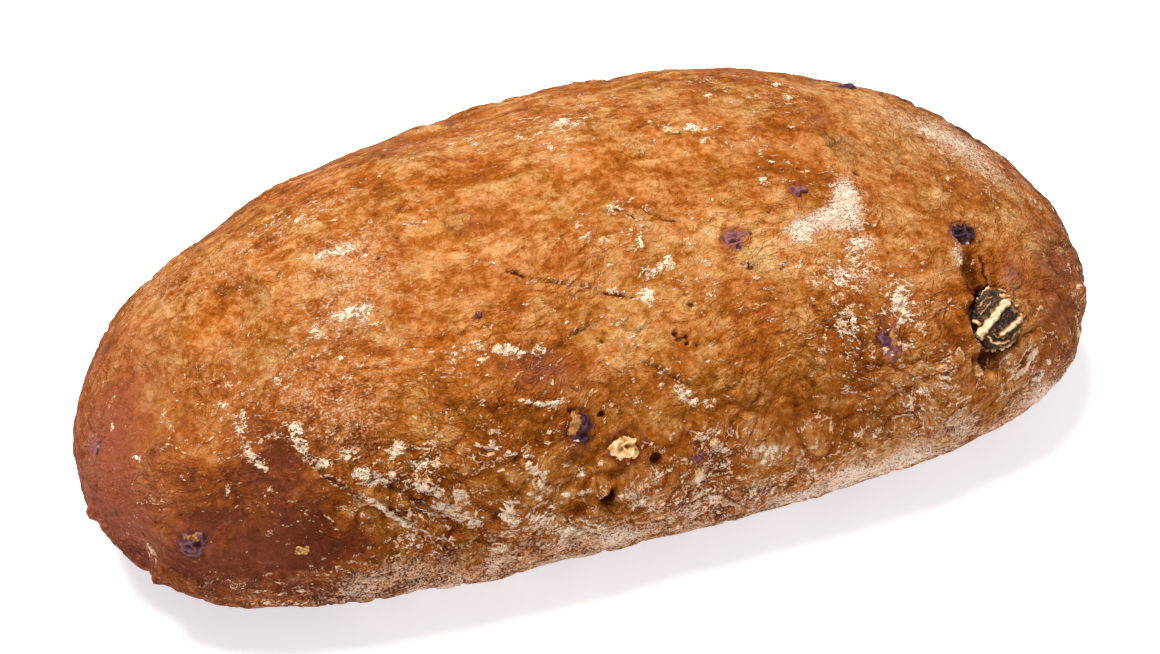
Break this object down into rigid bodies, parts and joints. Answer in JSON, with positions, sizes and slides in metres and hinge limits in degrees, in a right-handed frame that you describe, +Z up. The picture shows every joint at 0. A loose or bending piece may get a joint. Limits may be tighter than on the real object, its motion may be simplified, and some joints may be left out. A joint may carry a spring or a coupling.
{
  "type": "christmas rye bread",
  "caption": "Oval hand-shaped rye fruit loaf with a wrinkled, flour-dusted golden brown crust, raisins and nuts showing.",
  "frame": {"origin": "on the table, under the middle of the loaf's bounding box", "axes": "+X along the loaf's length, towards its wider end; -Y towards its front wall; +Z up"},
  "size_m": [0.3, 0.1633, 0.0872],
  "materials": {
    "crust": "baked golden brown rye crust, wrinkled and dusted with flour",
    "raisin": "wrinkled dark raisin, satin",
    "nut": "toasted cream nut with brown skin, satin"
  },
  "bodies": {
    "root": {"loaf": "crust", "raisin_shoulder": "raisin", "raisin_side": "raisin", "raisin_crown": "raisin", "raisin_crown_small": "raisin", "raisin_front": "raisin", "raisin_brow": "raisin", "raisin_heel": "raisin", "raisin_spine": "raisin", "raisin_rear_heel": "raisin", "raisin_rear_middle": "raisin", "raisin_rear_toe": "raisin", "walnut": "nut", "nut_front": "nut", "nut_rear": "nut"}
  },
  "joints": []
}
